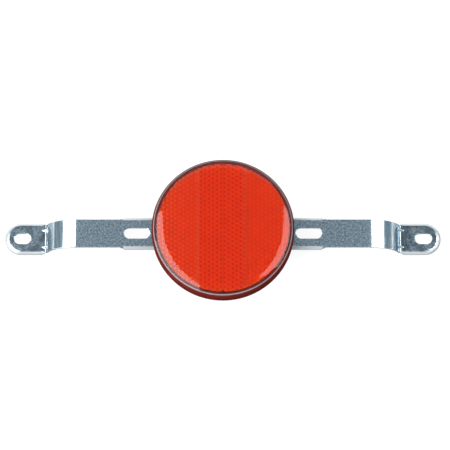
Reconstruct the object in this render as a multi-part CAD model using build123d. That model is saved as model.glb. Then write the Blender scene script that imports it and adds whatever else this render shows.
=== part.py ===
from build123d import *
import math
import os

# Bicycle rear reflector: a round red wide-angle lens in a black back shell, bolted to the middle
# of a zinc-plated cross bracket. The bracket is one pressed sheet of steel. Its middle has rolled
# edges, each arm drops through a knee and a heel, and each round-ended foot has a slot for a screw.
# +X runs along the bracket, +Y across it and +Z out of the lens. The origin is in the middle of the
# plane that the rims of the feet stand on. Sizes are in millimetres and angles in degrees.

# Sheet of the bracket
sheet = 1.2
inner_bend = 0.2
lip_straight = 0.6
strip_width = 16.2
lip_spread = 1.1

# Middle of the bracket
middle_rise = 12.3
rolled_half_length = 58.0
middle_lip_fade = 2.6
middle_slot_spacing = 97.0
middle_slot_length = 14.5
slot_width = 6.0

# Knees, heels and feet
knee_radius = 18.5
heel_radius = 1.0
heel_to_slot = 12.9
foot_lip_fade = 1.6
foot_slot_spacing = 228.0
foot_slot_length = 9.5
foot_overhang = 9.8
dart_spacing = 9.8
dart_leg = 2.3
dart_half_width = 1.1

# Lens
lens_radius = 40.0
edge_width = 8.5
brow_radius = 25.0
brow_turn = 11.5
window_wall = 1.6
skirt_wall = 2.2
ledge_width = 1.3

# Cube-corner prisms on the back of the lens
prism_pitch = 2.6
first_column = 1.0
middle_panel_half = 13.3
side_panel_tilt = 6.0
prism_clearance = 0.2

# Back shell
shell_wall = 1.6
seat_radius = 10.0
seat_height = 2.0
dish_depth = 1.0
dish_slope_run = 8.2
flange_width = 3.2
flange_thickness = 1.2
flange_inset = 0.2
plug_wall = 1.6
plug_depth = 4.0
fit_gap = 0.1
rib_count = 8
rib_width = 1.5
rib_height = 1.1
cheek_length = 16.0
cheek_thickness = 2.0
cheek_reach = 1.6
cheek_gap = 0.25
pocket_wall = 2.0
pocket_depth = 2.6
key_width = 1.8
key_height = 1.5
key_rise = 3.4

# Bolt, washers and nut of one M5 set
bolt_diameter = 5.0
bolt_length = 12.0
bolt_tip_chamfer = 0.5
hex_across_flats = 8.0
hex_corner_angle = 30.0
head_height = 3.5
nut_height = 4.0
nut_countersink = 0.4
washer_diameter = 10.0
washer_thickness = 1.0
spring_washer_diameter = 9.2
spring_washer_thickness = 1.2
spring_washer_split = 1.0
spring_washer_slant = 20.0
bolt_clearance = 0.25
washer_clearance = 0.15
thread_clearance = 0.05

# Bracket outline that follows from these sizes
bend_radius = sheet + inner_bend
lip_depth = bend_radius + lip_straight
channel_width = strip_width + 2 * lip_spread
foot_front = lip_depth
seat_z = foot_front + middle_rise
bends = knee_radius + heel_radius
heel_turn = math.degrees(math.acos(1 - middle_rise / bends))
foot_slot_x = foot_slot_spacing / 2
heel_x = foot_slot_x - heel_to_slot
knee_start = heel_x - bends * math.sin(math.radians(heel_turn))
foot_end = foot_slot_x + foot_overhang

# Radii of the lens and the shell
window_radius = lens_radius - skirt_wall - ledge_width
skirt_radius = lens_radius - skirt_wall
plug_radius = skirt_radius - fit_gap
plug_inside = plug_radius - plug_wall
flange_radius = lens_radius - flange_inset
dish_radius = flange_radius - flange_width
floor_radius = dish_radius - dish_slope_run
bolt_hole_radius = bolt_diameter / 2 + bolt_clearance
washer_hole_radius = bolt_diameter / 2 + washer_clearance

# Shape of one prism, and how much deeper the tilted panels lie at their inner edge
prism_corner = prism_pitch / math.sqrt(3)
prism_step = prism_pitch / math.sqrt(6)
column_step = prism_corner * 1.5
panel_drop = (window_radius - middle_panel_half) * math.tan(math.radians(side_panel_tilt))

# Levels in front of the strip, from its front face to the face of the lens
floor_z = seat_z + seat_height
inside_z = floor_z + shell_wall
flange_z = floor_z + dish_depth
lens_back = flange_z + flange_thickness
ledge_z = lens_back + plug_depth
relief_z = ledge_z + prism_clearance + 2 * prism_step + panel_drop
face_z = relief_z + window_wall

# Levels behind the strip
washer_z = seat_z - sheet
spring_washer_z = washer_z - washer_thickness
nut_z = spring_washer_z - spring_washer_thickness


def channel_section():
    """Section across a rolled stretch of sheet, with its front face on the local X axis."""
    outer = Rectangle(channel_width, lip_depth, align=(Align.CENTER, Align.MAX))
    outer = fillet(outer.vertices().group_by(Axis.Y)[-1], bend_radius)
    inner = Rectangle(channel_width - 2 * sheet, lip_depth, align=(Align.CENTER, Align.MAX))
    inner = fillet(inner.vertices().group_by(Axis.Y)[-1], inner_bend)
    return outer - Pos(0, -sheet) * inner


def crossing(x, z):
    """Plane across the bracket at x, with its local X along Y and its origin at height z."""
    return Plane(origin=(x, 0, z), x_dir=(0, 1, 0), z_dir=(1, 0, 0))


def lip_envelope(tip, full, far, front):
    """Space of a rolled stretch whose lips fade into the plain strip between full and tip."""
    half_strip, half_channel = strip_width / 2, channel_width / 2
    plan = Polygon((tip, half_strip), (full, half_channel), (far, half_channel),
                   (far, -half_channel), (full, -half_channel), (tip, -half_strip), align=None)
    side = Polygon((tip, front), (tip, front - sheet), (full, front - lip_depth),
                   (far, front - lip_depth), (far, front), align=None)
    upright = extrude(plan, amount=2 * face_z, both=True)
    return upright & extrude(Plane.XZ * side, amount=channel_width, both=True)


def rolled_middle():
    """Right half of the bracket's middle, stiffened by its rolled edges."""
    bar = extrude(crossing(0, seat_z) * channel_section(), amount=rolled_half_length)
    fade_start = rolled_half_length - middle_lip_fade
    return bar & lip_envelope(rolled_half_length, fade_start, 0, seat_z)


def sheet_line(depth):
    """Side view of the plain strip through knee and heel, at a depth below its front face."""
    level = Line((rolled_half_length, seat_z - depth), (knee_start, seat_z - depth))
    knee = JernArc(level @ 1, level % 1, knee_radius - depth, -heel_turn)
    heel = JernArc(knee @ 1, knee % 1, heel_radius + depth, heel_turn)
    return [level, knee, heel]


def plain_strip():
    """Flat strip from the rolled middle through the knee to the end of the heel."""
    front, back = sheet_line(0), sheet_line(sheet)
    ends = [Line(front[0] @ 0, back[0] @ 0), Line(front[-1] @ 1, back[-1] @ 1)]
    side = make_face(front + back + ends)
    return extrude(Plane.XZ * side, amount=strip_width / 2, both=True)


def foot():
    """Round-ended foot whose lip runs right round it, from the heel outwards."""
    centre = foot_end - channel_width / 2
    section = channel_section()
    half = section & Rectangle(channel_width, 4 * lip_depth, align=(Align.MIN, Align.CENTER))
    arm = extrude(crossing(heel_x, foot_front) * section, amount=centre - heel_x)
    end = revolve(crossing(centre, foot_front) * half, Axis((centre, 0, 0), (0, 0, -1)), 180)
    return (arm + end) & lip_envelope(heel_x, heel_x + foot_lip_fade, foot_end, foot_front)


def heel_dart(y):
    """Pressed stiffening dart across the inside of the heel: a ridge that runs from foot to arm."""
    turn = math.radians(heel_turn)
    corner_x = heel_x - heel_radius * math.tan(turn / 2)
    low = Vector(corner_x + dart_leg, y, foot_front)
    high = Vector(corner_x - dart_leg * math.cos(turn), y, foot_front + dart_leg * math.sin(turn))
    left, right = [Vector(corner_x, y + side * dart_half_width, foot_front) for side in (-1, 1)]
    corners = [(low, left, right), (high, right, left), (low, high, left), (high, low, right)]
    return Solid(Shell([Face(Wire.make_polygon(points, close=True)) for points in corners]))


def slot_cutter(x, length):
    """Punch for a slot that lies along the bracket."""
    return Pos(x, 0) * extrude(SlotOverall(length, slot_width), amount=face_z, both=True)


def make_cross_bracket():
    half = rolled_middle() + plain_strip() + foot()
    behind = Pos(-sheet * math.tan(math.radians(heel_turn / 2)), 0, -sheet)
    for y in (-dart_spacing / 2, dart_spacing / 2):
        half = half + heel_dart(y) - behind * heel_dart(y)
    half -= slot_cutter(middle_slot_spacing / 2, middle_slot_length)
    half -= slot_cutter(foot_slot_x, foot_slot_length)
    return half + mirror(half, about=Plane.YZ) - Cylinder(bolt_hole_radius, 2 * face_z)


def prism_relief(start, end):
    """Sheet of cube corners on the level z = 0, hanging down, in columns that cover start to end."""
    faces = []
    first = math.floor((start - first_column) / column_step) - 1
    last = math.ceil((end - first_column) / column_step) + 1
    rows = math.ceil(window_radius / prism_pitch) + 1
    for column in range(first, last + 1):
        for row in range(-rows, rows + 1):
            x = first_column + column * column_step
            y = (row + column % 2 / 2) * prism_pitch
            if math.hypot(x, y) > window_radius + prism_pitch:
                continue
            ring = [Vector(x + prism_corner * math.cos(math.radians(60 * k)),
                           y + prism_corner * math.sin(math.radians(60 * k)),
                           -prism_step * ((k + 1) % 2)) for k in range(6)]
            apex = Vector(x, y, -2 * prism_step)
            for k in (0, 2, 4):
                corners = [apex, ring[k], ring[k + 1], ring[(k + 2) % 6]]
                faces.append(Face(Wire.make_polygon(corners, close=True)))
    return Shell(faces)


def air_below(relief, start, end):
    """Open space under one panel of prisms, from x = start to end inside the window."""
    height = 4 * (face_z - lens_back)
    slab = Pos(start, 0) * Box(end - start, 2 * lens_radius, height,
                               align=(Align.MIN, Align.CENTER, Align.CENTER))
    block = Pos(0, 0, relief_z + prism_pitch - height / 2) * (slab & Cylinder(window_radius, height))
    return split(block, bisect_by=relief, keep=Keep.BOTH).solids().sort_by(Axis.Z)[0]


def air_behind_prisms():
    """Open spaces behind the level middle prisms and behind the tilted prisms of each side."""
    middle = Pos(0, 0, relief_z) * prism_relief(0, middle_panel_half)
    width = (window_radius - middle_panel_half) / math.cos(math.radians(side_panel_tilt))
    side = Pos(-window_radius, 0) * prism_relief(window_radius - width, window_radius)
    side = Pos(window_radius, 0, relief_z) * Rot(0, -side_panel_tilt, 0) * side
    right = [air_below(middle, 0, middle_panel_half),
             air_below(side, middle_panel_half, window_radius)]
    return right + [mirror(air, about=Plane.YZ) for air in right]


def orientation_key(gap, top):
    """Triangular post on the lower edge of the window, enlarged by gap, up to the level top."""
    half = key_width / 2 + gap
    plan = Polygon((-half, -window_radius - gap), (half, -window_radius - gap),
                   (0, key_height + gap - window_radius), align=None)
    return Pos(0, 0, top) * extrude(Plane.XY.reverse() * plan, amount=top - lens_back)


def make_lens():
    """Cap with a rounded brow, hollow behind, with prisms inside and a ledge for the shell."""
    brow_start = Line((0, face_z), (lens_radius - edge_width, face_z))
    brow = JernArc(brow_start @ 1, (1, 0), brow_radius, -brow_turn)
    reach = lens_radius - (brow @ 1).X
    edge_radius = reach / (1 - math.sin(math.radians(brow_turn)))
    edge = JernArc(brow @ 1, brow % 1, edge_radius, brow_turn - 90)
    wall = Polyline(edge @ 1, (lens_radius, lens_back), (0, lens_back), (0, face_z))
    cap = revolve(Plane.XZ * make_face([brow_start, brow, edge, *wall.edges()]), Axis.Z)
    recess = Cylinder(skirt_radius, plug_depth) - Cylinder(window_radius, 2 * plug_depth)
    recess = Pos(0, 0, lens_back + plug_depth / 2) * recess
    notch = orientation_key(fit_gap, ledge_z + key_rise + fit_gap)
    return cap.cut(recess, notch, *air_behind_prisms())


def shell_profile():
    """Half section of the back shell, from the bolt's axis to the rim and plug of the lens."""
    slope = dish_depth / dish_slope_run
    inside_radius = floor_radius - shell_wall * math.tan(math.atan(slope) / 2)
    slope_top = inside_z + (plug_inside - inside_radius) * slope
    return Polygon((0, seat_z), (seat_radius, seat_z), (seat_radius, floor_z),
                   (floor_radius, floor_z), (dish_radius, flange_z), (flange_radius, flange_z),
                   (flange_radius, lens_back), (plug_radius, lens_back), (plug_radius, ledge_z),
                   (plug_inside, ledge_z), (plug_inside, slope_top), (inside_radius, inside_z),
                   (0, inside_z), align=None)


def make_back_shell():
    """Dished cover with a seat and cheeks for the bracket, a head pocket, ribs and a key."""
    shell = revolve(Plane.XZ * shell_profile(), Axis.Z)
    rib = Pos(0, 0, floor_z) * Box(floor_radius, rib_width, rib_height,
                                   align=(Align.MIN, Align.CENTER, Align.MAX))
    for index in range(rib_count):
        shell += Rot(0, 0, 360 * index / rib_count) * rib
    cheek_y = channel_width / 2 + cheek_gap
    cheek = Pos(0, cheek_y, floor_z) * Box(cheek_length, cheek_thickness, seat_height + cheek_reach,
                                           align=(Align.CENTER, Align.MIN, Align.MAX))
    shell += cheek + mirror(cheek, about=Plane.XZ)
    pocket_radius = hex_across_flats / math.sqrt(3) + fit_gap + pocket_wall
    collar = Pos(0, 0, inside_z) * Cylinder(pocket_radius, pocket_depth,
                                            align=(Align.CENTER, Align.CENTER, Align.MIN))
    pocket = RegularPolygon(hex_across_flats / 2 + fit_gap, 6, major_radius=False)
    shell += collar - Pos(0, 0, inside_z) * extrude(pocket, amount=pocket_depth)
    shell += orientation_key(0, ledge_z + key_rise) - Cylinder(plug_inside, 2 * lens_back)
    return shell - Cylinder(bolt_hole_radius, 2 * inside_z)


def hexagon(height, chamfer_top, chamfer_bottom):
    """Hexagon prism standing on z = 0 whose corners are turned away at the chosen ends."""
    flats, corner = hex_across_flats / 2, hex_across_flats / math.sqrt(3)
    drop = (corner - flats) * math.tan(math.radians(hex_corner_angle))
    top, bottom = height - drop * chamfer_top, drop * chamfer_bottom
    turned = Polygon((0, 0), (flats if chamfer_bottom else corner, 0), (corner, bottom),
                     (corner, top), (flats if chamfer_top else corner, height), (0, height), align=None)
    prism = extrude(RegularPolygon(flats, 6, major_radius=False), amount=height)
    return prism & revolve(Plane.XZ * turned, Axis.Z)


def make_stud_bolt():
    shank = Cylinder(bolt_diameter / 2, bolt_length, align=(Align.CENTER, Align.CENTER, Align.MAX))
    shank = chamfer(shank.edges().sort_by(Axis.Z)[0], bolt_tip_chamfer)
    return Pos(0, 0, inside_z) * (shank + hexagon(head_height, True, False))


def ring(outside, inside, thickness):
    """Flat ring whose front face is on z = 0."""
    stock = Cylinder(outside, thickness, align=(Align.CENTER, Align.CENTER, Align.MAX))
    return stock - Cylinder(inside, 3 * thickness)


def make_plain_washer():
    return Pos(0, 0, washer_z) * ring(washer_diameter / 2, washer_hole_radius, washer_thickness)


def make_spring_washer():
    """Split ring, drawn flat as it is when the nut is tight."""
    flat = ring(spring_washer_diameter / 2, washer_hole_radius, spring_washer_thickness)
    split_cut = Box(spring_washer_diameter, spring_washer_split, 4 * spring_washer_thickness,
                    align=(Align.MIN, Align.CENTER, Align.CENTER))
    return Pos(0, 0, spring_washer_z) * (flat - Rot(spring_washer_slant, 0, 0) * split_cut)


def make_nut():
    """Nut with a countersunk hole, chamfered on both ends."""
    bore = bolt_diameter / 2 + thread_clearance
    blank = hexagon(nut_height, True, True)
    sink = Cone(bore + nut_countersink, bore, nut_countersink,
                align=(Align.CENTER, Align.CENTER, Align.MIN))
    blank -= Cylinder(bore, 3 * nut_height) + sink
    blank -= Pos(0, 0, nut_height) * Rot(180, 0, 0) * sink
    return Pos(0, 0, nut_z - nut_height) * blank


parts = {
    "cross_bracket": make_cross_bracket(),
    "lens": make_lens(),
    "back_shell": make_back_shell(),
    "stud_bolt": make_stud_bolt(),
    "plain_washer": make_plain_washer(),
    "spring_washer": make_spring_washer(),
    "nut": make_nut(),
}

os.makedirs("parts", exist_ok=True)
for name, solid in parts.items():
    export_step(solid, f"parts/{name}.step")
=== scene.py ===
import math

import bmesh
import bpy
from mathutils import Matrix, Vector


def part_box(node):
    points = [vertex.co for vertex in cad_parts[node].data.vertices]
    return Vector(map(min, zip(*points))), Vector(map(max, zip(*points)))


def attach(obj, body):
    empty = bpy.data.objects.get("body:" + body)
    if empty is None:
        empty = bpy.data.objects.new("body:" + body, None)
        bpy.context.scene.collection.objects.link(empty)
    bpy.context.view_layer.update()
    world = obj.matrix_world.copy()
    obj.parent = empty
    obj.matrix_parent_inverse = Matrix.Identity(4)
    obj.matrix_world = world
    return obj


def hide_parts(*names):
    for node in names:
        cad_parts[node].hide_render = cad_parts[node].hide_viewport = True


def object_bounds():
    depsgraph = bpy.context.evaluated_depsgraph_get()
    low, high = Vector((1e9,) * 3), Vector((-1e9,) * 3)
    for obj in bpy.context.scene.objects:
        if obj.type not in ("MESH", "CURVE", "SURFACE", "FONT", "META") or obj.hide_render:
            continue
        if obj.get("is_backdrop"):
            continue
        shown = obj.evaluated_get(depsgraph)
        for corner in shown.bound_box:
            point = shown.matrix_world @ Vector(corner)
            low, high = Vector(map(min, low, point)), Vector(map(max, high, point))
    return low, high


# Finished look of a bicycle rear reflector: a clear red lens over cube-corner prisms, a black
# moulded shell, and a zinc-plated bracket with its bolt, washers and nut. Lengths are in metres.
MM = 0.001
WELD = 0.001 * MM
JOINED_WITHIN = 10 * WELD

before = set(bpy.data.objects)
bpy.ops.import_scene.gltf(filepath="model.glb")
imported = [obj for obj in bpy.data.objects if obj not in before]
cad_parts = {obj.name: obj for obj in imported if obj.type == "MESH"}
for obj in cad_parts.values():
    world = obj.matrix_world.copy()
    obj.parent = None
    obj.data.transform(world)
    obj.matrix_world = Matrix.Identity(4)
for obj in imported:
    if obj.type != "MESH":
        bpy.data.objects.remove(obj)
cad_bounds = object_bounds()
lens_low, lens_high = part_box("lens")
bolt_low, bolt_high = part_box("stud_bolt")
bracket_low, bracket_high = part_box("cross_bracket")

# Lens cap
LENS_RADIUS = lens_high.x
FACE_Z = lens_high.z
LENS_BACK = lens_low.z
EDGE_WIDTH = 8.5 * MM
BROW_RADIUS = 25 * MM
BROW_TURN = math.radians(11.5)
WINDOW_WALL = 1.6 * MM
SKIRT_WALL = 2.2 * MM
LEDGE_WIDTH = 0.9 * MM
LEDGE_HEIGHT = 4.0 * MM
RIM_ROUNDING = 0.25 * MM
MOULD_GAP = 0.03 * MM
CORE_WALL = 0.25 * MM
CORE_GAP = 0.05 * MM
LENS_SEGMENTS = 384
ARC_STEPS = 28
RIM_STEPS = 6
SKIRT_RADIUS = LENS_RADIUS - SKIRT_WALL
WINDOW_RADIUS = SKIRT_RADIUS - LEDGE_WIDTH
RELIEF_Z = FACE_Z - WINDOW_WALL

# Prisms behind the lens
PRISM_PITCH = 2.6 * MM
FIRST_COLUMN = 1.0 * MM
MIDDLE_PANEL_HALF = 13.3 * MM
SIDE_PANEL_TILT = math.radians(1.2)
PANEL_BASE = LENS_BACK + LEDGE_HEIGHT + 0.1 * MM
PANEL_GAP = 0.05 * MM
PRISM_CORNER = PRISM_PITCH / math.sqrt(3)
PRISM_STEP = PRISM_PITCH / math.sqrt(6)
COLUMN_STEP = PRISM_CORNER * 1.5
WINDOW_TURN = math.radians(2)
WINDOW_LEAST_STEPS = 12
SPARE_CELLS = 2
KEY_WIDTH = 2.6 * MM
KEY_HEIGHT = 1.3 * MM
HIGHLIGHT_LINE_OFFSET = 0.6 * MM

# Painted highlight lines on the prisms: half width of the whole line and of its core, and strength
RIGHT_HIGHLIGHT_LINE = (2.2 * MM, 0.4 * MM, 0.3)
LEFT_HIGHLIGHT_LINE = (1.3 * MM, 0.3 * MM, 0.5)

# Depths in a cell at which the painted shade on the tips and the painted glints on the corners
# come in, and where, off the middle line, the painted glints grow to their full strength
PAINTED_SHADE_TIP = (0.58, 0.78)
PAINTED_GLINT_CORNER = (0.42, 0.22)
PAINTED_GLINT_OUTWARDS = (12 * MM, 34 * MM)

# Painted light of the right and left panel: glints on raised corners above 0, shade on tips below 0
MIDDLE_PAINTED_LIGHT = (-1.0, -1.0)
SIDE_PAINTED_LIGHT = (0.3, 1.0)

# Bracket: where its plain strips, knees and feet begin, either way from the middle
STRIP_START = 57 * MM
KNEE_START = 83 * MM
FOOT_START = 98 * MM
FOOT_RADIUS = (bracket_high.y - bracket_low.y) / 2
FOOT_END_CENTRE = bracket_high.x - FOOT_RADIUS
FOOT_DISH = 0.07 * MM

# Slots of the bracket: middle, length and width
SLOTS = ((48.5 * MM, 14.5 * MM, 6 * MM), (114 * MM, 9.5 * MM, 6 * MM))
SLOT_CLEANING = 0.02 * MM
SLOT_STEPS = 32
CUTTER_REACH = 5 * MM

# Bolt
THREAD_PITCH = 0.8 * MM
THREAD_DEPTH = 0.43 * MM
BOLT_RADIUS = 2.5 * MM
HEAD_HEIGHT = 3.5 * MM
TURN_SEGMENTS = 48
SEGMENTS_PER_PITCH = 10
# Whole turns added so that the thread's phase is never below 0
WHOLE_TURNS = 100.0

# Rounding of edges: first in the mesh, then in the way the plating catches the light
SHELL_ROUNDING = 0.15 * MM
SHEET_ROUNDING = 0.12 * MM
HARDWARE_ROUNDING = 0.08 * MM
ROUNDING_STEPS = 2
ROUNDING_ANGLE = math.radians(38)
SMOOTHING_ANGLE = math.radians(32)
FLAT_ANGLE = math.radians(0.4)
SHEET_EDGE_ROLL = 0.25 * MM
SHEET_RIM_ROLL = 0.3 * MM
HARDWARE_ROLL = 0.15 * MM

# Ranges over which a finish or painted light comes in. On the cap, for its skirt's painted
# shade: down from the face, and out from the axis
SKIRT_SHADE_BELOW = (FACE_Z - 1.6 * MM, FACE_Z - 2.6 * MM)
SKIRT_SHADE_OUTWARDS = (LENS_RADIUS - 1.7 * MM, LENS_RADIUS - 0.8 * MM)
# On the bracket: by the distance along it from its middle
ROLLED_MIDDLE = (STRIP_START, STRIP_START - 2 * MM)
PLAIN_STRIP = (STRIP_START, STRIP_START + 2 * MM)
BEFORE_FOOT = (FOOT_START, FOOT_START - 2 * MM)
FROM_KNEE = (KNEE_START - 3 * MM, KNEE_START + 2 * MM)
UP_TO_HEEL = (FOOT_START + 2 * MM, FOOT_START - 2 * MM)
FOOT_FACE = (FOOT_START, FOOT_START + 3 * MM)
FOOT_RIM = (FOOT_START + 3 * MM, FOOT_START + 5 * MM)
FOOT_HOLLOW = (FOOT_START + 3 * MM, FOOT_START + 6 * MM)
# On the bracket: by the distance from its middle line, and round the end of a foot
RIM_ACROSS = (FOOT_RADIUS - 1.9 * MM, FOOT_RADIUS - 1.3 * MM)
HOLLOW_ACROSS = (FOOT_RADIUS - 2.6 * MM, FOOT_RADIUS - 1.0 * MM)

# Colours of the lens and its prisms, with painted shade and glints, and how far the light in them
# evens out their facets
TINT = (1.0, 0.90, 0.90)
TINT_PALE = (1.0, 0.94, 0.94)
DYE = (0.995, 0.10, 0.07, 1.0)
DYE_DENSITY = 420.0
SKIRT_PAINTED_SHADE = (0.095, 0.012, 0.010)
SKIRT_PAINTED_SHADE_PALE = (0.14, 0.018, 0.015)
CORE_PAINTED_SHADE = (0.10, 0.008, 0.007)
CORE_PAINTED_SHADE_PALE = (0.16, 0.013, 0.011)
PRISM_GROUND = (1.0, 0.165, 0.001)
PRISM_GROUND_PALE = (1.0, 0.180, 0.001)
PRISM_PAINTED_SHADE = (0.83, 0.075, 0.001)
PRISM_PAINTED_GLINT = (1.0, 0.46, 0.15)
PRISM_EVENNESS = 12.0
KEY_BLACK = (0.004, 0.004, 0.004)

# Colours of the shell and of the plating, with its painted light on +Y faces and rims, and the sizes
# of its mottling, patches and wear
SHELL_BLACK = (0.010, 0.010, 0.011)
SHELL_BLACK_PALE = (0.017, 0.017, 0.018)
SHELL_RUBBED = (0.05, 0.05, 0.052)
ZINC_DARK = (0.20, 0.32, 0.41)
ZINC = (0.55, 0.69, 0.78)
ZINC_PALE = (0.96, 1.0, 1.0)
ZINC_PAINTED_LIT = (0.93, 0.95, 0.94)
ZINC_RIM_PAINTED_SHADE = (0.39, 0.415, 0.42)
ZINC_RIM_PAINTED_LIT = (0.68, 0.71, 0.715)
ZINC_FOOT_DARK = (0.04, 0.07, 0.10)
ZINC_RUBBED = (0.80, 0.80, 0.79)
SHEET_MOTTLE = 1.1 * MM
HARDWARE_MOTTLE = 1.0 * MM
KNEE_STRETCH = (1.0, 0.08, 1.0)
FOOT_DARK_PATCHES = 4.5 * MM
ZINC_WEAR = 0.35 * MM
SHELL_WEAR = 0.3 * MM

# Camera
CAMERA_ELEVATION = math.radians(75)
CAMERA_DISTANCE = 1.4
CAMERA_LENS = 200
CAMERA_SENSOR = 36
AIM_HEIGHT = 24 * MM
AIM_RIGHT = 1.15 * MM
AIM_UP = 2.10 * MM

# Floor and room. Polished pieces mirror the floor's glow in full behind the object, less in front
WHITE = (1.0, 1.0, 1.0, 1.0)
ROOM_COLOUR = (0.17, 0.21, 0.24, 1.0)
FLOOR_COLOUR = (0.2, 0.2, 0.2, 1.0)
FLOOR_GLOW = 0.86
FLOOR_FRONT_SHARE = 0.12
FLOOR_FRONT_TO_BACK = (0.0, 0.05)
FLOOR_SIZE = 8.0
FLOOR_DROP = 0.2 * MM

# Sheets of light overhead: name, plan outline and radiance
OVERHEAD_HEIGHT = 2.0
OVERHEAD_SHEETS = (
    ("left_panel", ((-0.27, -0.23), (-0.39, 0.52), (-0.66, 0.74), (-2.2, 1.3), (-2.5, 0.0),
                    (-2.1, -1.1), (-1.08, -2.15)), 4.9),
    ("right_panel", ((0.37, -0.05), (0.40, 0.52), (0.85, 0.90), (2.6, 1.6), (2.9, -1.2)), 4.2),
)

# Upright lamps: name, the two ends in plan, lower and upper edge, and radiance
SOFTBOXES = (
    ("left_wall", (-2.3, 0.16), (-0.97, -2.1), 0.02, 1.75, 3.4),
    ("front_low", (-1.6, -2.2), (2.0, -2.2), 0.02, 0.5, 1.6),
    ("front_high", (-1.6, -2.2), (2.0, -2.2), 0.5, 1.4, 0.5),
    ("right_strip", (2.4, -1.6), (2.4, 0.5), 0.02, 0.35, 3.2),
    ("back_low", (-0.9, 1.3), (0.9, 1.3), 0.02, 1.0, 0.2),
    ("back_high", (-0.9, 1.3), (0.9, 1.3), 1.0, 2.3, 0.7),
)


def add(tree, kind, inputs=None, **settings):
    """One node with its settings, each input linked to a socket or set to a value."""
    node = tree.nodes.new(kind)
    for name, value in settings.items():
        setattr(node, name, value)
    for key, value in (inputs or {}).items():
        if isinstance(value, bpy.types.NodeSocket):
            tree.links.new(value, node.inputs[key])
        else:
            node.inputs[key].default_value = value
    return node


def sums(tree, operation, first, second=0.0, third=0.0, clamp=False):
    """Result of one sum on numbers or sockets, in a shader or a geometry tree."""
    values = {0: first, 1: second, 2: third}
    return add(tree, "ShaderNodeMath", values, operation=operation, use_clamp=clamp).outputs[0]


def product(tree, first, *factors):
    """Numbers or sockets multiplied with each other."""
    for factor in factors:
        first = sums(tree, "MULTIPLY", first, factor)
    return first


def vector_sums(tree, operation, first, second=(0.0, 0.0, 0.0)):
    """Result of one sum on vectors: a number for a length or a dot product, else a vector."""
    node = add(tree, "ShaderNodeVectorMath", {0: first, 1: second}, operation=operation)
    return node.outputs["Value" if operation in ("LENGTH", "DOT_PRODUCT") else "Vector"]


def split(tree, vector):
    """The three parts of a vector, by their names X, Y and Z."""
    return add(tree, "ShaderNodeSeparateXYZ", {0: vector}).outputs


def vector_of(tree, x=0.0, y=0.0, z=0.0):
    """Vector made of three numbers or sockets."""
    return add(tree, "ShaderNodeCombineXYZ", {"X": x, "Y": y, "Z": z}).outputs[0]


def spread(tree, value, from_low, from_high, to_low=0.0, to_high=1.0):
    """Value moved smoothly from one range to another and held at its ends."""
    inputs = {"Value": value, 1: from_low, 2: from_high, 3: to_low, 4: to_high}
    return add(tree, "ShaderNodeMapRange", inputs, interpolation_type="SMOOTHSTEP").outputs[0]


def noise(tree, place, size, detail=3.0, rough=0.55):
    """Cloudy pattern whose patches are about size across."""
    inputs = {"Vector": place, "Scale": 1 / size, "Detail": detail, "Roughness": rough}
    return add(tree, "ShaderNodeTexNoise", inputs).outputs["Fac"]


def colours(tree, value, *stops):
    """Colour that runs through the stops, each a position and a colour."""
    node = add(tree, "ShaderNodeValToRGB", {"Fac": value})
    ramp = node.color_ramp
    while len(ramp.elements) < len(stops):
        ramp.elements.new(0.5)
    for element, (position, colour) in zip(ramp.elements, stops):
        element.position = position
        element.color = (*colour, 1.0)
    return node.outputs["Color"]


def blend_colours(tree, share, first, second):
    """Second colour laid over the first by share."""
    node = add(tree, "ShaderNodeMix", {0: share}, data_type="RGBA")
    for index, value in ((6, first), (7, second)):
        if isinstance(value, bpy.types.NodeSocket):
            tree.links.new(value, node.inputs[index])
        else:
            node.inputs[index].default_value = (*value, 1.0)
    return node.outputs[2]


def bare_tree(holder):
    """Emptied node tree of a material or world."""
    holder.use_nodes = True
    holder.node_tree.nodes.clear()
    return holder.node_tree


def new_material(name, **sockets):
    """Material with one Principled shader whose constant values are set on its own sockets."""
    material = bpy.data.materials.new(name)
    tree = bare_tree(material)
    shader = add(tree, "ShaderNodeBsdfPrincipled")
    for key, value in sockets.items():
        shader.inputs[key.replace("_", " ")].default_value = value
    add(tree, "ShaderNodeOutputMaterial", {"Surface": shader.outputs["BSDF"]})
    place = add(tree, "ShaderNodeTexCoord").outputs["Object"]
    return material, tree, shader, place


def connect(tree, shader, **sockets):
    """Patterns that vary over the surface, each linked to the shader's socket of that name."""
    for key, socket in sockets.items():
        tree.links.new(socket, shader.inputs[key.replace("_", " ")])


def worn_edges(tree, radius):
    """1 on edges that turn within radius, 0 on open surfaces."""
    rounded = add(tree, "ShaderNodeBevel", {"Radius": radius}, samples=4).outputs["Normal"]
    normal = add(tree, "ShaderNodeNewGeometry").outputs["Normal"]
    return spread(tree, vector_sums(tree, "DOT_PRODUCT", rounded, normal), 0.995, 0.9)


def bumps(tree, shader, *layers, start=None):
    """Bump layers, each a height socket and its depth, one over the other on the shader."""
    normal = start
    for height, depth in layers:
        inputs = {"Height": height, "Distance": depth, "Strength": 1.0}
        if normal is not None:
            inputs["Normal"] = normal
        normal = add(tree, "ShaderNodeBump", inputs).outputs["Normal"]
    connect(tree, shader, Normal=normal)


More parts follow.
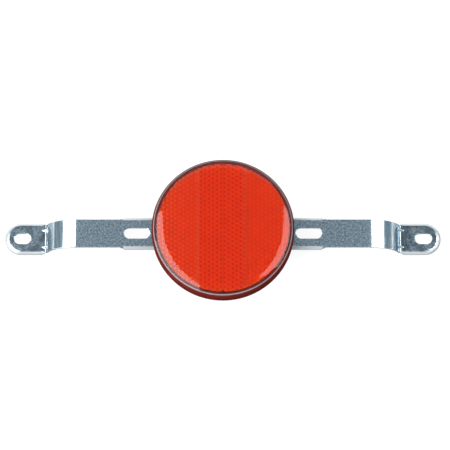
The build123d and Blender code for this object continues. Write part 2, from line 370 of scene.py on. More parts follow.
def red_acrylic():
    """Clear red acrylic, polished by its mould, with faint handling marks and a skirt painted dark
    wine as shade, without shine.
    """
    material, tree, shader, place = new_material("red_acrylic", IOR=1.45)
    haze = noise(tree, place, 6 * MM)
    tint = colours(tree, haze, (0.3, TINT), (0.7, TINT_PALE))
    painted_shade_wine = colours(tree, haze, (0.3, SKIRT_PAINTED_SHADE), (0.7, SKIRT_PAINTED_SHADE_PALE))
    parts = split(tree, place)
    from_axis = vector_sums(tree, "LENGTH", vector_of(tree, parts["X"], parts["Y"]))
    # Painted shade of the skirt: dark wine, with no light through it and no shine
    painted_shade_skirt = sums(tree, "MAXIMUM", spread(tree, parts["Z"], *SKIRT_SHADE_BELOW),
                spread(tree, from_axis, *SKIRT_SHADE_OUTWARDS))
    clear = sums(tree, "SUBTRACT", 1.0, painted_shade_skirt)
    specks = spread(tree, noise(tree, place, 0.35 * MM), 0.66, 0.72)
    skin = sums(tree, "MULTIPLY_ADD", painted_shade_skirt, 0.25, 0.004)
    connect(tree, shader, Base_Color=blend_colours(tree, painted_shade_skirt, tint, painted_shade_wine),
            Transmission_Weight=clear, Specular_IOR_Level=product(tree, clear, 0.5),
            Roughness=sums(tree, "MULTIPLY_ADD", specks, 0.06, skin))
    bumps(tree, shader, (noise(tree, place, 9 * MM, detail=1.0), 0.01 * MM))
    absorb = add(tree, "ShaderNodeVolumeAbsorption", {"Color": DYE, "Density": DYE_DENSITY})
    output = next(node for node in tree.nodes if node.type == "OUTPUT_MATERIAL")
    tree.links.new(absorb.outputs["Volume"], output.inputs["Volume"])
    return material


def highlight_line(tree, across, centre, reach, core, strength):
    """Soft line of painted highlight up the lens round centre, full within core and gone beyond
    reach.
    """
    away = sums(tree, "ABSOLUTE", sums(tree, "SUBTRACT", across, centre))
    return spread(tree, away, reach, core, 0.0, strength)


def prism_red():
    """Prisms through the lens: painted shade on the middle's tips, painted glints on the sides'
    corners.
    """
    material, tree, shader, place = new_material("prism_red", IOR=1.49, Specular_IOR_Level=0.05)
    depth = add(tree, "ShaderNodeAttribute", attribute_name="prism_depth").outputs["Fac"]
    painted_light = add(tree, "ShaderNodeAttribute", attribute_name="prism_painted_light").outputs["Fac"]
    parts = split(tree, place)
    aside = sums(tree, "ABSOLUTE", parts["X"])
    cloud = noise(tree, place, 5 * MM)
    ground = colours(tree, cloud, (0.3, PRISM_GROUND), (0.7, PRISM_GROUND_PALE))

    # Dots of painted light: shade on the deep tips where the value is below 0, glints on raised
    # corners above
    tip = spread(tree, depth, *PAINTED_SHADE_TIP)
    painted_shade_share = product(tree, tip, sums(tree, "MULTIPLY", painted_light, -0.75, clamp=True))
    dotted = blend_colours(tree, painted_shade_share, ground, PRISM_PAINTED_SHADE)
    peak = spread(tree, depth, *PAINTED_GLINT_CORNER)
    outer = spread(tree, aside, *PAINTED_GLINT_OUTWARDS, 0.45, 1.0)
    painted_glint_share = product(tree, peak, outer, sums(tree, "MULTIPLY", painted_light, 1.0, clamp=True))
    spotted = blend_colours(tree, painted_glint_share, dotted, PRISM_PAINTED_GLINT)

    # Painted highlight lines beside the middle panel, beaded by the rows of prisms
    right = highlight_line(tree, parts["X"], MIDDLE_PANEL_HALF - HIGHLIGHT_LINE_OFFSET, *RIGHT_HIGHLIGHT_LINE)
    left = highlight_line(tree, parts["X"], -MIDDLE_PANEL_HALF - HIGHLIGHT_LINE_OFFSET, *LEFT_HIGHLIGHT_LINE)
    wave = sums(tree, "SINE", product(tree, parts["Y"], math.tau / PRISM_PITCH))
    beads = sums(tree, "MULTIPLY_ADD", wave, 0.35, 0.65)
    highlight_lines = product(tree, sums(tree, "MAXIMUM", right, left), beads)
    striped = blend_colours(tree, highlight_lines, spotted, PRISM_PAINTED_GLINT)

    # Black key, a small triangle at the bottom of the window
    above = sums(tree, "SUBTRACT", parts["Y"], KEY_HEIGHT - WINDOW_RADIUS)
    slant = sums(tree, "MULTIPLY_ADD", above, KEY_WIDTH / (2 * KEY_HEIGHT), aside)
    key = sums(tree, "LESS_THAN", slant, 0.0)
    connect(tree, shader, Base_Color=blend_colours(tree, key, striped, KEY_BLACK),
            Roughness=sums(tree, "MULTIPLY_ADD", cloud, 0.2, 0.4))

    facet = add(tree, "ShaderNodeNewGeometry").outputs["Normal"]
    even = vector_sums(tree, "NORMALIZE", vector_sums(tree, "ADD", facet, (0, 0, PRISM_EVENNESS)))
    bumps(tree, shader, (noise(tree, place, 0.3 * MM), 0.004 * MM), start=even)
    return material


def painted_shade_core():
    """Painted shade inside the lens's thick edge and skirt, where little light gets in: dark wine
    red.
    """
    material, tree, shader, place = new_material("painted_shade_core", IOR=1.49)
    cloud = noise(tree, place, 4 * MM)
    connect(tree, shader, Base_Color=colours(tree, cloud, (0.3, CORE_PAINTED_SHADE), (0.7, CORE_PAINTED_SHADE_PALE)),
            Roughness=sums(tree, "MULTIPLY_ADD", cloud, 0.2, 0.35))
    bumps(tree, shader, (noise(tree, place, 0.5 * MM), 0.01 * MM))
    return material


def black_plastic():
    """Black moulded plastic with a fine spark-eroded skin and paler rubbed edges."""
    material, tree, shader, place = new_material("black_plastic", IOR=1.5)
    cloud = noise(tree, place, 8 * MM)
    skin = colours(tree, cloud, (0.3, SHELL_BLACK), (0.7, SHELL_BLACK_PALE))
    rubbed = product(tree, worn_edges(tree, SHELL_WEAR), noise(tree, place, 1.5 * MM), 0.7)
    connect(tree, shader, Base_Color=blend_colours(tree, rubbed, skin, SHELL_RUBBED),
            Roughness=sums(tree, "MULTIPLY_ADD", cloud, 0.18, 0.38))
    bumps(tree, shader, (noise(tree, place, 0.22 * MM), 0.012 * MM))
    return material


def bracket_places(tree, parts):
    """How far out and off the middle line a spot lies, and 1 on the knees and on rolled rims."""
    out = sums(tree, "ABSOLUTE", parts["X"])
    beyond = sums(tree, "MAXIMUM", sums(tree, "SUBTRACT", out, FOOT_END_CENTRE), 0.0)
    off_line = vector_sums(tree, "LENGTH", vector_of(tree, beyond, parts["Y"]))
    knee = product(tree, spread(tree, out, *FROM_KNEE), spread(tree, out, *UP_TO_HEEL))
    rolled = sums(tree, "MAXIMUM", spread(tree, out, *FOOT_RIM), spread(tree, out, *ROLLED_MIDDLE))
    rim = product(tree, spread(tree, off_line, *RIM_ACROSS), rolled)
    return out, off_line, knee, rim


def plating_mottle(tree, place, cloud, grain, knee):
    """Light and dark of the plating: spotted, but brushed across where the knees were pressed."""
    spotted = sums(tree, "MULTIPLY_ADD", grain, 0.3, product(tree, cloud, 0.7))
    streaks = noise(tree, vector_sums(tree, "MULTIPLY", place, KNEE_STRETCH), 0.8 * MM)
    brushed = sums(tree, "MULTIPLY_ADD", streaks, 0.25, 0.375)
    change = product(tree, knee, sums(tree, "SUBTRACT", brushed, spotted))
    return sums(tree, "ADD", spotted, change)


def zinc_plate(name, mottle_size, edge_roll, rim_roll):
    """Blue-passivated zinc on steel: mottled flats, darker foot patches, rubbed edges, and painted
    light on +Y faces and rims.
    """
    material, tree, shader, place = new_material(name, IOR=1.5)
    out, off_line, knee, rim = bracket_places(tree, split(tree, place))
    tilt = split(tree, add(tree, "ShaderNodeNewGeometry").outputs["Normal"])
    cloud = noise(tree, place, mottle_size, rough=0.65)
    grain = noise(tree, place, mottle_size / 4, rough=0.7)
    mottle = plating_mottle(tree, place, cloud, grain, knee)
    # Painted highlight: faces turned to +Y are paler and less metallic
    upper = spread(tree, tilt["Y"], 0.15, 0.5)
    # Rims lose most of their metal shine and take painted light: pale on the +Y side, grey elsewhere
    off_rim = sums(tree, "MULTIPLY_ADD", rim, -0.9, 1.0)

    # Colour: mottle, painted highlight on +Y faces, rims painted pale on that side and grey
    # elsewhere, darker foot patches, rubbed edges
    plate = colours(tree, mottle, (0.405, ZINC_DARK), (0.5, ZINC), (0.595, ZINC_PALE))
    raised = blend_colours(tree, product(tree, upper, 0.8), plate, ZINC_PAINTED_LIT)
    rim_painted_light = blend_colours(tree, upper, ZINC_RIM_PAINTED_SHADE, ZINC_RIM_PAINTED_LIT)
    rimmed = blend_colours(tree, rim, raised, rim_painted_light)
    # Darker patches on the level faces of the feet, off their rims
    patches = spread(tree, noise(tree, place, FOOT_DARK_PATCHES, detail=2.0), 0.38, 0.62, 0.2, 0.65)
    level = spread(tree, tilt["Z"], 0.95, 0.995)
    foot_dark_share = product(tree, level, spread(tree, out, *FOOT_FACE, 0.0, patches), off_rim)
    darkened_feet = blend_colours(tree, foot_dark_share, rimmed, ZINC_FOOT_DARK)
    rubbed = product(tree, worn_edges(tree, ZINC_WEAR), spread(tree, cloud, 0.35, 0.6), 0.6)
    polish = spread(tree, mottle, 0.35, 0.65, 0.15, 0.08)
    # Metallic drops on the +Y faces and on the rims, so that their painted light shows
    connect(tree, shader, Base_Color=blend_colours(tree, rubbed, darkened_feet, ZINC_RUBBED),
            Metallic=product(tree, sums(tree, "MULTIPLY_ADD", upper, -0.6, 0.93), off_rim),
            Roughness=sums(tree, "MULTIPLY_ADD", knee, 0.04, polish))

    # Relief: rolled edges, pitted flats, fine grain and the hollow of each foot within its rim
    plain = product(tree, spread(tree, out, *PLAIN_STRIP), spread(tree, out, *BEFORE_FOOT))
    roll = sums(tree, "MULTIPLY_ADD", plain, edge_roll - rim_roll, rim_roll)
    rolled = add(tree, "ShaderNodeBevel", {"Radius": roll}, samples=6).outputs["Normal"]
    hollow = sums(tree, "MULTIPLY_ADD", spread(tree, off_line, *HOLLOW_ACROSS),
                  spread(tree, out, *FOOT_HOLLOW, 0.0, -1.0), 1.0)
    flat = spread(tree, sums(tree, "ABSOLUTE", tilt["Z"]), 0.7, 0.98)
    bumps(tree, shader, (product(tree, cloud, flat), 0.010 * MM), (grain, 0.003 * MM),
          (hollow, FOOT_DISH), start=rolled)
    return material


def in_scene(name, data):
    """New object of a mesh, lamp or camera, linked to the scene."""
    item = bpy.data.objects.new(name, data)
    bpy.context.scene.collection.objects.link(item)
    return item


def finish_piece(name, mesh, material, slot, *stands_for):
    """Object with its material that rides on the body and stands for its CAD nodes."""
    mesh.materials.clear()
    mesh.materials.append(material)
    piece = in_scene(name, mesh)
    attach(piece, "root")
    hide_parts(*stands_for)
    return piece


def mesh_from(bm, name):
    """Named mesh of a working copy, which is then given up."""
    mesh = bpy.data.meshes.new(name)
    bm.to_mesh(mesh)
    bm.free()
    return mesh


def evaluated_mesh(item):
    """Mesh of an object as its modifiers leave it."""
    bpy.context.view_layer.update()
    evaluated = item.evaluated_get(bpy.context.evaluated_depsgraph_get())
    return bpy.data.meshes.new_from_object(evaluated)


def open_edges(bm):
    """Edges that have a face on one side only."""
    return [edge for edge in bm.edges if edge.is_boundary]


def set_level(geometry, level):
    """Corners among newly extruded geometry set to one height."""
    for item in geometry:
        if isinstance(item, bmesh.types.BMVert):
            item.co.z = level


def smooth(mesh):
    """Smooth shading that breaks at sharp edges."""
    mesh.shade_smooth()
    mesh.set_sharp_from_angle(angle=SMOOTHING_ANGLE)
    return mesh


def arc(centre_r, centre_z, radius, start, end, steps):
    """Points on an arc of a half section, by the angle from straight up to outwards."""
    angles = [start + (end - start) * step / steps for step in range(steps + 1)]
    return [(centre_r + radius * math.sin(a), centre_z + radius * math.cos(a)) for a in angles]


def turned_mesh(name, profile, segments):
    """Closed mesh of a half section turned about Z, from the axis to the axis or round a ring."""
    bm = bmesh.new()
    turns = [math.tau * step / segments for step in range(segments)]
    rings = []
    for radius, height in profile:
        if radius < WELD:
            rings.append([bm.verts.new((0, 0, height))] * segments)
            continue
        spots = [(radius * math.cos(turn), radius * math.sin(turn), height) for turn in turns]
        rings.append([bm.verts.new(spot) for spot in spots])
    if profile[0][0] > WELD:
        rings.append(rings[0])
    for upper, lower in zip(rings, rings[1:]):
        for step in range(segments):
            after = (step + 1) % segments
            corners = dict.fromkeys((upper[step], upper[after], lower[after], lower[step]))
            bm.faces.new(tuple(corners))
    bmesh.ops.recalc_face_normals(bm, faces=bm.faces)
    return mesh_from(bm, name)


def lens_profile():
    """Half section of the cap: face, brow, rounded edge, skirt, ledge and flat back."""
    flat_radius = LENS_RADIUS - EDGE_WIDTH
    brow = arc(flat_radius, FACE_Z - BROW_RADIUS, BROW_RADIUS, 0, BROW_TURN, ARC_STEPS)
    brow_r, brow_z = brow[-1]
    edge_radius = (LENS_RADIUS - brow_r) / (1 - math.sin(BROW_TURN))
    edge_r = brow_r - edge_radius * math.sin(BROW_TURN)
    edge_z = brow_z - edge_radius * math.cos(BROW_TURN)
    edge = arc(edge_r, edge_z, edge_radius, BROW_TURN, math.pi / 2, ARC_STEPS)
    rim_z = LENS_BACK + MOULD_GAP
    rim = arc(LENS_RADIUS - RIM_ROUNDING, rim_z + RIM_ROUNDING, RIM_ROUNDING,
              math.pi / 2, math.pi, RIM_STEPS)
    ledge_z = LENS_BACK + LEDGE_HEIGHT + MOULD_GAP
    back_z = RELIEF_Z + MOULD_GAP
    inside = [(SKIRT_RADIUS, rim_z), (SKIRT_RADIUS, ledge_z), (WINDOW_RADIUS, ledge_z),
              (WINDOW_RADIUS, back_z), (0, back_z)]
    return [(0, FACE_Z), *brow, *edge[1:], *rim, *inside]


def geometry_tree(name, **inputs):
    """Geometry tree that makes a mesh from inputs of these names and kinds."""
    tree = bpy.data.node_groups.new(name, "GeometryNodeTree")
    for key, kind in inputs.items():
        tree.interface.new_socket(key.replace("_", " "), in_out="INPUT",
                                  socket_type="NodeSocket" + kind)
    tree.interface.new_socket("Geometry", in_out="OUTPUT", socket_type="NodeSocketGeometry")
    return tree, add(tree, "NodeGroupInput").outputs


def coloured_output(tree, geometry, material):
    """Result of a geometry tree, in its material."""
    inputs = {"Geometry": geometry, "Material": material}
    coloured = add(tree, "GeometryNodeSetMaterial", inputs).outputs[0]
    add(tree, "NodeGroupOutput", {"Geometry": coloured})


def prism_lattice_tree():
    """Geometry tree: cube-corner cells in staggered columns, welded into one sheet."""
    tree, given = geometry_tree("prism_lattice", Pitch="Float", Columns="Int", Rows="Int",
                                First_Column="Float", Reach="Float", Material="Material")
    pitch = given["Pitch"]
    corner = sums(tree, "DIVIDE", pitch, math.sqrt(3))
    step = sums(tree, "DIVIDE", pitch, math.sqrt(6))
    column_step = product(tree, corner, 1.5)
    place = add(tree, "GeometryNodeInputPosition").outputs[0]

    # One cell: a fan of six triangles whose ring rises and falls and whose middle is the tip
    cell = add(tree, "GeometryNodeMeshCircle", {"Vertices": 6, "Radius": corner},
               fill_type="TRIANGLE_FAN")
    index = add(tree, "GeometryNodeInputIndex").outputs[0]
    ring_drop = sums(tree, "SUBTRACT", sums(tree, "MODULO", index, 2.0), 1.0)
    is_tip = sums(tree, "GREATER_THAN", index, 5.5)
    ring_share = product(tree, ring_drop, sums(tree, "SUBTRACT", 1.0, is_tip))
    drop = product(tree, sums(tree, "MULTIPLY_ADD", is_tip, -2.0, ring_share), step)
    shaped = add(tree, "GeometryNodeSetPosition",
                 {"Geometry": cell.outputs[0], "Offset": vector_of(tree, z=drop)})

    # Staggered grid of points, kept within reach of the axis
    size_x = product(tree, column_step, sums(tree, "SUBTRACT", given["Columns"], 1.0))
    size_y = product(tree, pitch, sums(tree, "SUBTRACT", given["Rows"], 1.0))
    grid = add(tree, "GeometryNodeMeshGrid", {"Size X": size_x, "Size Y": size_y,
               "Vertices X": given["Columns"], "Vertices Y": given["Rows"]})
    half_x = product(tree, size_x, 0.5)
    from_left = sums(tree, "ADD", split(tree, place)["X"], half_x)
    column = sums(tree, "ROUND", sums(tree, "DIVIDE", from_left, column_step))
    stagger = product(tree, sums(tree, "MODULO", column, 2.0), pitch, 0.5)
    shift = vector_of(tree, sums(tree, "ADD", half_x, given["First Column"]), stagger)
    points = add(tree, "GeometryNodeSetPosition",
                 {"Geometry": grid.outputs["Mesh"], "Offset": shift})
    outside = sums(tree, "GREATER_THAN", vector_sums(tree, "LENGTH", place), given["Reach"])
    near = add(tree, "GeometryNodeDeleteGeometry",
               {"Geometry": points.outputs[0], "Selection": outside}, domain="POINT")
    placed = add(tree, "GeometryNodeInstanceOnPoints",
                 {"Points": near.outputs[0], "Instance": shaped.outputs[0]})
    real = add(tree, "GeometryNodeRealizeInstances", {"Geometry": placed.outputs[0]})
    welded = add(tree, "GeometryNodeMergeByDistance",
                 {"Geometry": real.outputs[0], "Distance": JOINED_WITHIN})
    coloured_output(tree, welded.outputs[0], given["Material"])
    return tree


def grown_mesh(name, tree, **values):
    """Plain mesh of a geometry tree run with these named inputs."""
    host = in_scene(name, bpy.data.meshes.new(name + "_host"))
    modifier = host.modifiers.new(tree.name, "NODES")
    modifier.node_group = tree
    inputs = (item for item in tree.interface.items_tree if item.in_out == "INPUT")
    sockets = {item.name: item.identifier for item in inputs}
    for key, value in values.items():
        modifier[sockets[key.replace("_", " ")]] = value
    mesh = evaluated_mesh(host)
    host.modifiers.remove(modifier)
    bpy.data.objects.remove(host)
    mesh.name = name
    return mesh


def block_mesh(name, outline, low, high):
    """Upright block over a plan outline of (x, y) points."""
    bm = bmesh.new()
    floor = bm.faces.new([bm.verts.new((x, y, low)) for x, y in outline])
    raised = bmesh.ops.extrude_face_region(bm, geom=[floor])
    set_level(raised["geom"], high)
    bmesh.ops.recalc_face_normals(bm, faces=bm.faces)
    return mesh_from(bm, name)


def window_outline(start, end, radius):
    """Plan of the window between x = start and x = end, with round ends."""
    first, last = (math.acos(max(-1, min(1, x / radius))) for x in (start, end))
    steps = max(WINDOW_LEAST_STEPS, round((first - last) / WINDOW_TURN))
    turns = [last + (first - last) * step / steps for step in range(steps + 1)]
    ring = [(radius * math.cos(turn), radius * math.sin(turn)) for turn in turns]
    lower = [(x, -y) for x, y in reversed(ring)]
    outline = []
    for point in ring + lower:
        if not outline or math.dist(point, outline[-1]) > JOINED_WITHIN:
            outline.append(point)
    if math.dist(outline[0], outline[-1]) <= JOINED_WITHIN:
        outline.pop()
    return outline


def close_below(mesh, level):
    """Walls from the open rim of a relief straight down to level, and a floor."""
    bm = bmesh.new()
    bm.from_mesh(mesh)
    walls = bmesh.ops.extrude_edge_only(bm, edges=open_edges(bm))
    set_level(walls["geom"], level)
    bmesh.ops.holes_fill(bm, edges=open_edges(bm), sides=0)
    bmesh.ops.recalc_face_normals(bm, faces=bm.faces)
    bm.to_mesh(mesh)
    bm.free()
    return mesh


def cut_mesh(mesh, tool, operation):
    """Mesh cut by, or kept within, another closed mesh."""
    body = in_scene("cut_body", mesh)
    cutter = in_scene("cut_tool", tool)
    modifier = body.modifiers.new("cut", "BOOLEAN")
    modifier.operation = operation
    modifier.solver = "EXACT"
    modifier.object = cutter
    result = evaluated_mesh(body)
    for item in (body, cutter):
        bpy.data.objects.remove(item)
    return result


def make_painted_shade_ring(material):
    """Ring of painted shade inside the cap's edge and skirt, which shows dark through their clear
    skin.
    """
    inner = WINDOW_RADIUS + CORE_GAP
    ledge_r = SKIRT_RADIUS + CORE_GAP
    outer = ledge_r + CORE_WALL
    foot_z = LENS_BACK + 2 * CORE_GAP
    ledge_z = foot_z + LEDGE_HEIGHT
    top_z = RELIEF_Z - CORE_WALL
    profile = [(inner, top_z), (outer - CORE_WALL, top_z), (outer, top_z - CORE_WALL),
               (outer, foot_z), (ledge_r, foot_z), (ledge_r, ledge_z), (inner, ledge_z)]
    ring = smooth(turned_mesh("painted_shade_ring", profile, LENS_SEGMENTS))
    finish_piece("painted_shade_ring", ring, material, "red_lens", "lens")


def prism_panel(tree, material, start, end, place):
    """One panel of prisms between x = start and end, with its lattice set at place."""
    columns = math.ceil(WINDOW_RADIUS / COLUMN_STEP) + 2 * SPARE_CELLS
    rows = 2 * (math.ceil(WINDOW_RADIUS / PRISM_PITCH) + SPARE_CELLS) + 1
    lattice = grown_mesh("prism_cells", tree, Pitch=PRISM_PITCH, Columns=columns, Rows=rows,
                         First_Column=FIRST_COLUMN - SPARE_CELLS * COLUMN_STEP,
                         Reach=WINDOW_RADIUS + SPARE_CELLS * PRISM_PITCH, Material=material)
    lattice.transform(place)
    solid = close_below(lattice, LENS_BACK)
    outline = window_outline(start + PANEL_GAP / 2, end - PANEL_GAP / 2, WINDOW_RADIUS - PANEL_GAP)
    block = block_mesh("panel_block", outline, PANEL_BASE, RELIEF_Z + PRISM_PITCH)
    return cut_mesh(solid, block, "INTERSECT")


def mark_depth(mesh, place):
    """Attribute for the material: how deep a corner lies in its cell, 1 at the tip."""
    back = place.inverted()
    depth = mesh.attributes.new("prism_depth", "FLOAT", "POINT")
    for vertex, deep in zip(mesh.vertices, depth.data):
        deep.value = min(1.0, max(0.0, -(back @ vertex.co).z / (2 * PRISM_STEP)))


def mark_painted_light(mesh, amount):
    """Attribute for the material: painted glint on raised corners, or below 0 painted shade on tips.
    """
    painted_light = mesh.attributes.new("prism_painted_light", "FLOAT", "POINT")
    for item in painted_light.data:
        item.value = amount


def make_prism_panels(material):
    """Four panels behind the window: two level ones in the middle and a tilted one on each side."""
    tree = prism_lattice_tree()
    level = Matrix.Translation((0, 0, RELIEF_Z))
    tilted = (Matrix.Translation((WINDOW_RADIUS, 0, RELIEF_Z))
              @ Matrix.Rotation(-SIDE_PANEL_TILT, 4, "Y")
              @ Matrix.Translation((-WINDOW_RADIUS, 0, 0)))
    joined = bmesh.new()
    for place, start, end, painted_lights in ((level, 0, MIDDLE_PANEL_HALF, MIDDLE_PAINTED_LIGHT),
                                      (tilted, MIDDLE_PANEL_HALF, WINDOW_RADIUS, SIDE_PAINTED_LIGHT)):
        panel = prism_panel(tree, material, start, end, place)
        mark_depth(panel, place)
        for side, painted_light in zip((1, -1), painted_lights):
            turned = panel.copy()
            mark_painted_light(turned, painted_light)
            if side < 0:
                turned.transform(Matrix.Scale(-1, 4, (1, 0, 0)))
                turned.flip_normals()
            joined.from_mesh(turned)
    mesh = mesh_from(joined, "prism_panels")
    finish_piece("prism_panels", mesh, material, "red_lens", "lens")


def welded_copy(node):
    """Copy of a CAD node's mesh with its loose triangles joined and its flats made whole."""
    bm = bmesh.new()
    bm.from_mesh(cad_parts[node].data)
    bmesh.ops.remove_doubles(bm, verts=bm.verts, dist=WELD)
    bmesh.ops.dissolve_limit(bm, angle_limit=FLAT_ANGLE, verts=bm.verts, edges=bm.edges)
    return mesh_from(bm, node)


def slot_outline(middle, length, width):
    """Plan of a slot with round ends along X."""
    radius = width / 2
    reach = (length - width) / 2
    turns = [math.pi * step / SLOT_STEPS - math.pi / 2 for step in range(SLOT_STEPS + 1)]
    right = [(middle + reach + radius * math.cos(a), radius * math.sin(a)) for a in turns]
    left = [(middle - reach - radius * math.cos(a), -radius * math.sin(a)) for a in turns]
    return right + left


def with_clean_slots(mesh):
    """Bracket mesh whose four slots are cut once more with finely stepped round ends."""
    low = bracket_low.z - CUTTER_REACH
    high = bracket_high.z + CUTTER_REACH
    for middle, length, width in SLOTS:
        for side in (-1, 1):
            outline = slot_outline(side * middle, length + 2 * SLOT_CLEANING,
                                   width + 2 * SLOT_CLEANING)
            mesh = cut_mesh(mesh, block_mesh("slot_cutter", outline, low, high), "DIFFERENCE")
    return mesh


def rounded_piece(name, mesh, node, material, slot, radius):
    """Stand-in for a CAD node with the same form and softly rounded edges."""
    piece = finish_piece(name, smooth(mesh), material, slot, node)
    bevel = piece.modifiers.new("rounded_edges", "BEVEL")
    bevel.width = radius
    bevel.segments = ROUNDING_STEPS
    bevel.limit_method = "ANGLE"
    bevel.angle_limit = ROUNDING_ANGLE
    bevel.use_clamp_overlap = False
    weighted = piece.modifiers.new("flat_faces_stay_flat", "WEIGHTED_NORMAL")
    weighted.keep_sharp = True
    weighted.weight = 100


def thread_tree():
    """Geometry tree: a shank whose skin follows a screw thread and fades out at its ends."""
    tree, given = geometry_tree("screw_thread", Radius="Float", Length="Float", Pitch="Float",
                                Depth="Float", Around="Int", Along="Int", Material="Material")
    rod = add(tree, "GeometryNodeMeshCylinder",
              {"Vertices": given["Around"], "Side Segments": given["Along"],
               "Radius": given["Radius"], "Depth": given["Length"]})
    parts = split(tree, add(tree, "GeometryNodeInputPosition").outputs[0])

    # Height of the skin: a ridge that rises once in each pitch and turns with the angle
    angle = sums(tree, "DIVIDE", sums(tree, "ARCTAN2", parts["Y"], parts["X"]), math.tau)
    turned = sums(tree, "ADD", sums(tree, "DIVIDE", parts["Z"], given["Pitch"]),
                  sums(tree, "ADD", angle, WHOLE_TURNS))
    swing = sums(tree, "MULTIPLY_ADD", sums(tree, "FRACT", turned), 2.0, -1.0)
    ridge = sums(tree, "SUBTRACT", 1.0, sums(tree, "ABSOLUTE", swing))
    shaped = spread(tree, ridge, 0.08, 0.92)
    from_end = sums(tree, "SUBTRACT", product(tree, given["Length"], 0.5),
                    sums(tree, "ABSOLUTE", parts["Z"]))
    fade = spread(tree, from_end, 0.0, product(tree, given["Pitch"], 0.9))
    height = product(tree, shaped, fade)

    # Each corner of the shank moved inwards by what its height lacks
    inward = product(tree, sums(tree, "SUBTRACT", height, 1.0), given["Depth"])
    share = sums(tree, "DIVIDE", inward, given["Radius"])
    offset = add(tree, "ShaderNodeVectorMath",
                 {0: vector_of(tree, parts["X"], parts["Y"]), "Scale": share}, operation="SCALE")
    cut = add(tree, "GeometryNodeSetPosition",
              {"Geometry": rod.outputs["Mesh"], "Offset": offset.outputs[0]})
    real = add(tree, "GeometryNodeRealizeInstances", {"Geometry": cut.outputs[0]})
    coloured_output(tree, real.outputs[0], given["Material"])
    return tree


def make_stud_bolt(material):
    """Hexagon head from the CAD solid on a shank with a real thread."""
    seat_z = bolt_high.z - HEAD_HEIGHT
    bm = bmesh.new()
    bm.from_mesh(welded_copy("stud_bolt"))
    shank = [face for face in bm.faces if face.calc_center_median().z < seat_z - WELD]
    bmesh.ops.delete(bm, geom=shank, context="FACES")
    bmesh.ops.holes_fill(bm, edges=open_edges(bm), sides=0)
    length = seat_z - bolt_low.z + THREAD_PITCH
    thread = grown_mesh("bolt_thread", thread_tree(), Radius=BOLT_RADIUS, Length=length,
                        Pitch=THREAD_PITCH, Depth=THREAD_DEPTH, Around=TURN_SEGMENTS,
                        Along=round(length / THREAD_PITCH * SEGMENTS_PER_PITCH), Material=material)
    thread.transform(Matrix.Translation((0, 0, bolt_low.z + length / 2)))
    bm.from_mesh(thread)
    mesh = smooth(mesh_from(bm, "threaded_bolt"))
    finish_piece("threaded_bolt", mesh, material, "zinc_plated_fastener", "stud_bolt")


def make_floor():
    """Plain pale floor that shows white and keeps a soft shadow."""
    half = FLOOR_SIZE / 2
    level = cad_bounds[0].z - FLOOR_DROP
    mesh = bpy.data.meshes.new("floor")
    corners = [(-half, -half, level), (half, -half, level), (half, half, level), (-half, half, level)]
    mesh.from_pydata(corners, [], [(0, 1, 2, 3)])
    floor = in_scene("floor", mesh)
    material = bpy.data.materials.new("pale_floor")
    tree = bare_tree(material)
    path = add(tree, "ShaderNodeLightPath").outputs
    place = add(tree, "ShaderNodeTexCoord").outputs["Object"]
    share = spread(tree, split(tree, place)["Y"], *FLOOR_FRONT_TO_BACK, FLOOR_FRONT_SHARE, 1.0)
    polished = sums(tree, "MAXIMUM", path["Is Glossy Ray"], path["Is Transmission Ray"])
    mirrored = product(tree, polished, share)
    seen = sums(tree, "MAXIMUM", path["Is Camera Ray"], mirrored)
    glow = add(tree, "ShaderNodeEmission",
               {"Color": WHITE, "Strength": product(tree, seen, FLOOR_GLOW)})
    matt = add(tree, "ShaderNodeBsdfDiffuse", {"Color": FLOOR_COLOUR})
    both = add(tree, "ShaderNodeAddShader", {0: matt.outputs[0], 1: glow.outputs[0]})
    add(tree, "ShaderNodeOutputMaterial", {"Surface": both.outputs[0]})
    mesh.materials.append(material)
    floor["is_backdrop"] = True


def make_room():
    """Dim room round the lamps that the camera sees as white."""
    world = bpy.data.worlds.new("room")
    tree = bare_tree(world)
    room = add(tree, "ShaderNodeBackground", {"Color": ROOM_COLOUR})
    white = add(tree, "ShaderNodeBackground", {"Color": WHITE})
    seen = add(tree, "ShaderNodeLightPath").outputs["Is Camera Ray"]
    mix = add(tree, "ShaderNodeMixShader", {0: seen, 1: room.outputs[0], 2: white.outputs[0]})
    add(tree, "ShaderNodeOutputWorld", {"Surface": mix.outputs[0]})
    bpy.context.scene.world = world


def glow_panel(name, outline, radiance):
    """Overhead sheet of light over a plan outline of (x, y) points."""
    mesh = bpy.data.meshes.new(name)
    corners = [(x, y, OVERHEAD_HEIGHT) for x, y in outline]
    mesh.from_pydata(corners, [], [tuple(range(len(corners)))])
    material = bpy.data.materials.new(name)
    tree = bare_tree(material)
    glow = add(tree, "ShaderNodeEmission", {"Color": WHITE, "Strength": radiance})
    add(tree, "ShaderNodeOutputMaterial", {"Surface": glow.outputs[0]})
    mesh.materials.append(material)
    panel = in_scene(name, mesh)
    panel.visible_camera = False
    panel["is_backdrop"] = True


def softbox(name, first, last, low, high, radiance):
    """Upright rectangular lamp between two (x, y) points that faces the object."""
    width = math.dist(first, last)
    lamp = bpy.data.lights.new(name, "AREA")
    lamp.shape = "RECTANGLE"
    lamp.size = width
    lamp.size_y = high - low
    lamp.energy = math.pi * width * (high - low) * radiance
    holder = in_scene(name, lamp)
    centre = Vector(((first[0] + last[0]) / 2, (first[1] + last[1]) / 2, (low + high) / 2))
    across = Vector((first[1] - last[1], last[0] - first[0], 0))
    facing = across if across.dot(centre) < 0 else -across
    holder.location = centre
    holder.rotation_euler = facing.to_track_quat("-Z", "Y").to_euler()


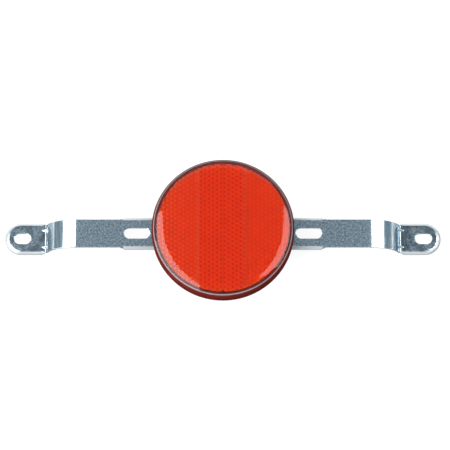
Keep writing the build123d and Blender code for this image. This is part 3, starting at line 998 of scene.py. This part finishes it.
def make_camera():
    """Long lens looking down at the front of the lens, a little from its lower side."""
    camera = bpy.data.cameras.new("camera")
    camera.lens = CAMERA_LENS
    camera.sensor_width = CAMERA_SENSOR
    holder = in_scene("camera", camera)
    towards = Vector((0, -math.cos(CAMERA_ELEVATION), math.sin(CAMERA_ELEVATION)))
    up = Vector((0, math.sin(CAMERA_ELEVATION), math.cos(CAMERA_ELEVATION)))
    aim = Vector((AIM_RIGHT, 0, AIM_HEIGHT)) + AIM_UP * up
    holder.location = aim + CAMERA_DISTANCE * towards
    holder.rotation_euler = (-towards).to_track_quat("-Z", "Y").to_euler()
    bpy.context.scene.camera = holder


zinc_sheet = zinc_plate("zinc_plated_sheet", SHEET_MOTTLE, SHEET_EDGE_ROLL, SHEET_RIM_ROLL)
zinc_hardware = zinc_plate("zinc_plated_hardware", HARDWARE_MOTTLE, HARDWARE_ROLL, HARDWARE_ROLL)

lens_cap = smooth(turned_mesh("lens_cap", lens_profile(), LENS_SEGMENTS))
finish_piece("lens_cap", lens_cap, red_acrylic(), "red_lens", "lens")
make_prism_panels(prism_red())
make_painted_shade_ring(painted_shade_core())
rounded_piece("dished_shell", welded_copy("back_shell"), "back_shell", black_plastic(),
              "black_shell", SHELL_ROUNDING)
rounded_piece("pressed_bracket", with_clean_slots(welded_copy("cross_bracket")), "cross_bracket",
              zinc_sheet, "zinc_plated_sheet", SHEET_ROUNDING)
make_stud_bolt(zinc_hardware)
for piece_name, node_name in (("washer", "plain_washer"), ("split_washer", "spring_washer"),
                              ("clamping_nut", "nut")):
    rounded_piece(piece_name, welded_copy(node_name), node_name, zinc_hardware,
                  "zinc_plated_fastener", HARDWARE_ROUNDING)

make_floor()
make_room()
for overhead_sheet in OVERHEAD_SHEETS:
    glow_panel(*overhead_sheet)
for upright_lamp in SOFTBOXES:
    softbox(*upright_lamp)
make_camera()
bpy.context.scene.view_settings.view_transform = "Standard"

sizes = {"cad_low": list(cad_bounds[0]), "cad_high": list(cad_bounds[1])}
sizes["visual_low"], sizes["visual_high"] = (list(corner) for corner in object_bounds())
